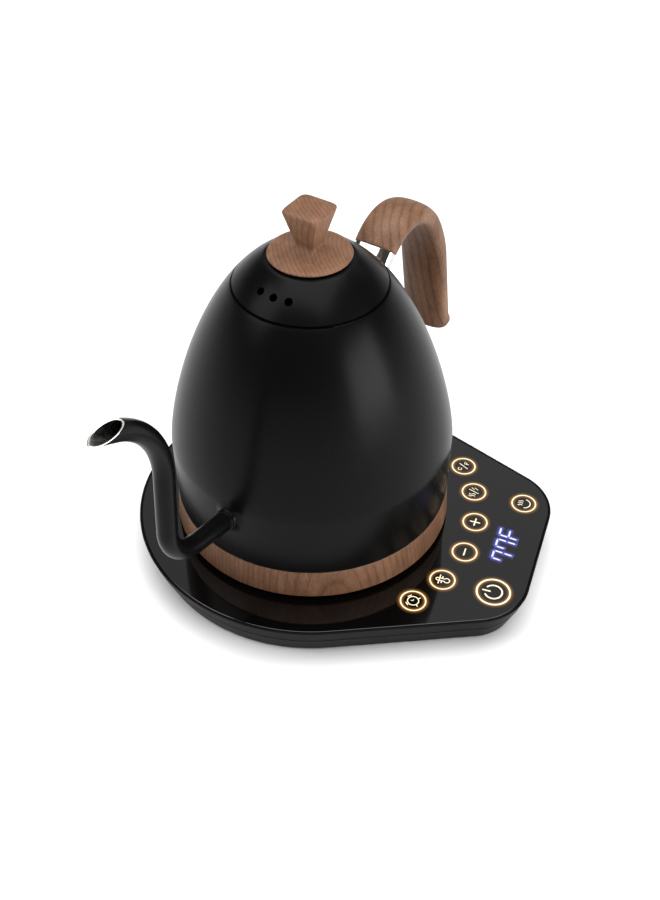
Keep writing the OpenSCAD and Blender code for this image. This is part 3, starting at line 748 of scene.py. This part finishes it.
housing_levels = fillet([(4.6, 12.0), (2.65, 12.0, 0.3), (2.9, 11.4), (6.3, 3.1),
                         (6.95, 1.5, 0.8), (12.0, 1.5)], 5, False)
housing_rings = slab(housing_levels) + [hole_ring(30, 1.5), hole_ring(0.01, 1.5)]
housing_rings += [hole_ring(0.01, 3.5), hole_ring(30, 3.5)] + slab([(12.0, 3.5), (9.0, 3.7)])
housing_rings += slab([(4.8, 12.0)])
make("base_housing", loft(housing_rings, looped=True), HOUSING, "base", ["lower_housing"],
     sharp=40)


# ---------------------------------------------------------------- symbols under the glass

TOP = 20.02
HALO_Z = TOP - 0.012


def sideways(pts, closed):
    """The unit vector across a line at each of its points."""
    n = len(pts)
    across = []
    for i in range(n):
        before = pts[i - 1] if closed or i else pts[i]
        after = pts[(i + 1) % n] if closed or i < n - 1 else pts[i]
        d = (after - before).normalized()
        across.append(Vector((-d.y, d.x)))
    return across


def stroke(points, width, closed=False, z=TOP):
    """A flat line of this width, with round ends where it is open."""
    pts = [Vector(p) for p in points]
    n = len(pts)
    points3, faces = [], []
    for p, side in zip(pts, sideways(pts, closed)):
        a, b = p + side * width / 2, p - side * width / 2
        points3 += [(a.x, a.y, z), (b.x, b.y, z)]
    for i in range(n if closed else n - 1):
        j = (i + 1) % n
        faces.append((2 * i, 2 * i + 1, 2 * j + 1, 2 * j))
    shape = (points3, faces)
    if not closed:
        for end in (pts[0], pts[-1]):
            ring = arc(end, width / 2, 0, 330, 11)
            shape = joined(shape, ([(x, y, z) for x, y in ring], [tuple(range(12))]))
    return shape


def circle(centre, radius, steps=64, start=0.0, end=360.0):
    full = abs(end - start) >= 360
    pts = arc(centre, radius, start, end, steps)
    return pts[:-1] if full else pts


KEY_ARC_R = 81.6
GLOW_LINE = 0.68
icon_shapes = []
icon_lines = []  # for the halo: (points, closed)


def draw(points, centre, width=0.52, closed=False):
    pts = [(centre[0] + x, centre[1] + y) for x, y in points]
    icon_shapes.append(stroke(pts, width, closed))
    icon_lines.append((pts, closed))


def key_ring(centre, radius=5.84):
    """Draws a key's ring and gives its centre back."""
    draw(circle((0, 0), radius), centre, GLOW_LINE, True)
    return centre


def key_at(degrees):
    """Draws the ring of the key in this direction on the arc round the kettle."""
    return key_ring((KEY_ARC_R * sin(radians(degrees)), -KEY_ARC_R * cos(radians(degrees))))


# Plus and minus
c = key_at(7.5)
draw([(-2.3, 0), (2.3, 0)], c, 0.7)
draw([(0, -2.3), (0, 2.3)], c, 0.7)
c = key_at(-7.5)
draw([(-2.1, 0), (2.1, 0)], c, 0.7)

# Thermometer: a round bulb, a long loop for the stem, and a crossing mark
c = key_at(-22.6)
draw(circle((0, -2.1), 1.35, 24, 125, 415), c)
draw([(-0.75, -1.0), (-0.8, 2.3)] + circle((0, 2.3), 0.8, 8, 180, 0) + [(0.75, -1.0)], c)
draw([(-2.7, 1.5), (2.7, 1.5)], c)
draw([(-2.0, 0.2), (-1.1, 0.2)], c)
draw([(1.1, 0.2), (2.0, 0.2)], c)

# Alarm clock: face, ears and feet
c = key_at(-36.3)
draw(circle((0, 0), 2.6, 36), c, closed=True)
draw([(-3.1, 1.7), (-1.9, 2.9)], c)
draw([(3.1, 1.7), (1.9, 2.9)], c)
draw([(-2.6, -2.7), (-1.9, -2.0)], c)
draw([(2.6, -2.7), (1.9, -2.0)], c)
draw([(0, 1.0), (0, 0), (0.8, 0)], c, 0.36)

# Heat waves, a slash and a small bolt
c = key_at(22.6)
for x in (-3.0, -1.7):
    draw([(x + 0.45 * sin(k * 1.05), -1.1 + 0.5 * k) for k in range(7)], c, 0.4)
draw([(-0.6, -2.4), (1.2, 2.6)], c, 0.4)
draw([(2.6, 1.6), (1.5, 0.1), (3.0, 0.2), (1.9, -1.6)], c, 0.4)

# Unit key: a mark on each side of a slash
c = key_at(36.3)
draw([(-1.4, -2.4), (1.4, 2.4)], c, 0.4)
draw(circle((-2.4, 1.4), 0.9, 16, 40, 320), c, 0.4)
draw([(3.2, 0.0), (1.8, 0.0), (1.8, -2.2)], c, 0.4)
draw([(1.8, -1.0), (2.9, -1.0)], c, 0.4)

# Steam over a bowl
c = key_ring((31.1, -101.0))
draw(circle((0, -0.2), 3.0, 20, 190, 350), c)
for x in (-1.4, 0.0, 1.4):
    draw([(x + 0.35 * sin(k * 1.1), 0.6 + 0.42 * k) for k in range(6)], c, 0.42)

# Power symbol, in a larger ring
c = (-31.2, -99.8)
draw(circle((0, 0), 7.76, 80), c, 0.9, True)
draw(circle((0, 0), 4.1, 40, 125, 415), c, 0.8)
draw([(0, 1.6), (0, 5.0)], c, 0.8)

make("key_symbols", joined(*icon_shapes), ICON_LIGHT, "base", ["icon_film"])


def halo_piece(name, lines, reach, material):
    """Flat bands along the lines whose falloff runs from 1 on the line to 0 at their edge."""
    points, faces, fall = [], [], []
    marks = [(-1, 0), (-0.75, 0.06), (-0.5, 0.25), (-0.25, 0.6), (0, 1.0), (0.25, 0.6),
             (0.5, 0.25), (0.75, 0.06), (1, 0)]  # across the band: (place, falloff)
    for pts, closed in lines:
        pts = [Vector(p) for p in pts]
        n = len(pts)
        start = len(points)
        for centre, side in zip(pts, sideways(pts, closed)):
            for offset, value in marks:
                p = centre + side * reach * offset
                points.append((p.x, p.y, HALO_Z))
                fall.append(value)
        m = len(marks)
        for i in range(n if closed else n - 1):
            a, b = start + i * m, start + (i + 1) % n * m
            faces += [(a + k, a + k + 1, b + k + 1, b + k) for k in range(m - 1)]
    mesh = bpy.data.meshes.new(name)
    mesh.from_pydata([Vector(p) * MM for p in points], [], faces)
    layer = mesh.attributes.new("falloff", "FLOAT", "POINT")
    layer.data.foreach_set("value", fall)
    mesh.materials.append(material)
    piece = in_scene(name, mesh)
    piece.visible_shadow = False
    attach(piece, "base")


rings_only = [(pts, closed) for pts, closed in icon_lines if closed and len(pts) > 40]
halo_piece("key_glow", rings_only, 2.3, ICON_HALO)

# Seven-segment figures: two sevens and a unit letter, leaning a little
PITCH, HEIGHT, WIDTH, LEAN = 8.05, 9.3, 5.0, math.tan(radians(7))
DISPLAY_Y, SEGMENT_POINT, SEGMENT_HALF = -98.8, 0.42, 0.44
SEGMENTS = {"a": ((0, 1), (1, 1)), "b": ((1, 1), (1, 0.5)), "c": ((1, 0.5), (1, 0)),
            "d": ((0, 0), (1, 0)), "e": ((0, 0.5), (0, 0)), "f": ((0, 1), (0, 0.5)),
            "g": ((0, 0.5), (1, 0.5))}
digit_shapes, digit_lines = [], []
for place, lit in ((-1, "abcf"), (0, "abcf"), (1, "aefg")):
    for name in lit:
        ends = []
        for u, v in SEGMENTS[name]:
            x, y = (u - 0.5) * WIDTH, (v - 0.5) * HEIGHT
            ends.append(Vector((place * PITCH + x + y * LEAN, DISPLAY_Y + y)))
        a, b = ends
        d = (b - a).normalized()
        side = Vector((-d.y, d.x)) * SEGMENT_HALF
        point = d * SEGMENT_POINT
        a, b = a + point, b - point
        hexagon = [a, a + point + side, b - point + side, b, b - point - side, a + point - side]
        digit_shapes.append(([(p.x, p.y, TOP) for p in hexagon], [tuple(range(6))]))
        digit_lines.append(([tuple(a - d * 0.9), tuple(a + d * 0.2), tuple(b - d * 0.2),
                             tuple(b + d * 0.9)], False))
make("display_figures", joined(*digit_shapes), DIGIT_LIGHT, "base")
halo_piece("display_glow", digit_lines, 2.6, DIGIT_HALO)

# ---------------------------------------------------------------- finishes of the CAD's own pieces

FINISH = {
    "light_guide": WHITE, "touch_springs": SCREW, "display_module": DISPLAY,
    "control_board": BOARD, "power_board": BOARD, "power_relay": BLUE, "buzzer": PLASTIC,
    "base_connector": PLASTIC, "base_contacts": BRASS, "rubber_feet": RUBBER,
    "base_screws": SCREW, "cord_gland": RUBBER, "kettle_connector": PLASTIC,
    "plug_contacts": BRASS, "vessel_floor": BARE, "heat_diffuser": ALUMINIUM,
    "heating_element": ALUMINIUM, "thermal_cutout": BROWN, "temperature_probe": BARE,
    "probe_grommet": SILICONE, "cover_posts": BARE, "bottom_cover": PLASTIC,
    "cover_screws": SCREW, "handle_core": BARE, "grip_screw": SCREW, "lid_plug": BARE,
    "lid_seal": SILICONE, "knob_screw": SCREW, "knob_washer": RUBBER,
}
for name, finish in FINISH.items():
    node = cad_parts[name]
    for place in node.material_slots:
        place.material = finish

# ---------------------------------------------------------------- studio

FLOOR_HALF = 2.5  # metres
floor_mesh = bpy.data.meshes.new("floor")
floor_mesh.from_pydata([(x * FLOOR_HALF, y * FLOOR_HALF, 0)
                        for x, y in ((-1, -1), (1, -1), (1, 1), (-1, 1))], [], [(0, 1, 2, 3)])
floor = in_scene("floor", floor_mesh)
floor_mesh.materials.append(new_material("floor_white", (0.86, 0.86, 0.86), 0.9,
                                         Specular_IOR_Level=0.0))


def softbox(name, place, target, size, radiance):
    """A soft white light of this radiance, facing the target. Places and sizes are in metres."""
    data = bpy.data.lights.new(name, "AREA")
    data.shape = "RECTANGLE"
    data.size, data.size_y = size
    data.energy = radiance * size[0] * size[1] * pi
    lamp = in_scene(name, data)
    lamp.location = place
    lamp.rotation_euler = (Vector(target) - Vector(place)).to_track_quat("-Z", "Y").to_euler()
    lamp.visible_camera = False


world = bpy.data.worlds.new("studio")
bpy.context.scene.world = world
world.use_nodes = True
background = world.node_tree.nodes["Background"]
# Pale near the horizon, dark above, where the softboxes are
sky = add(world, "ShaderNodeTexCoord")
height = add(world, "ShaderNodeSeparateXYZ", {0: sky.outputs["Generated"]})
fade = add(world, "ShaderNodeMapRange",
           {"Value": height.outputs["Z"], "From Min": 0.08, "From Max": 0.2,
            "To Min": 0.85, "To Max": 0.06}, interpolation_type="SMOOTHSTEP")
world.node_tree.links.new(fade.outputs["Result"], background.inputs["Strength"])
background.inputs["Color"].default_value = (1, 1, 1, 1)

softbox("top", (0.0, 0.0, 6.0), (0, 0, 0), (7.2, 7.2), 3.9)
softbox("side", (-0.33, -1.23, 0.36), (0, 0, 0.1), (0.85, 0.62), 8.0)
softbox("left", (-0.6, 1.03, 1.08), (0, 0, 0.12), (0.8, 0.7), 3.6)
softbox("back_left", (1.0, 1.0, 1.45), (0, 0, 0), (1.1, 1.3), 0.55)
softbox("back_right", (1.38, -0.3, 1.45), (0, 0, 0), (1.5, 1.3), 0.7)

scene = bpy.context.scene
scene.view_settings.view_transform = "Standard"
scene.view_settings.look = "None"
scene.view_settings.exposure = 0.0
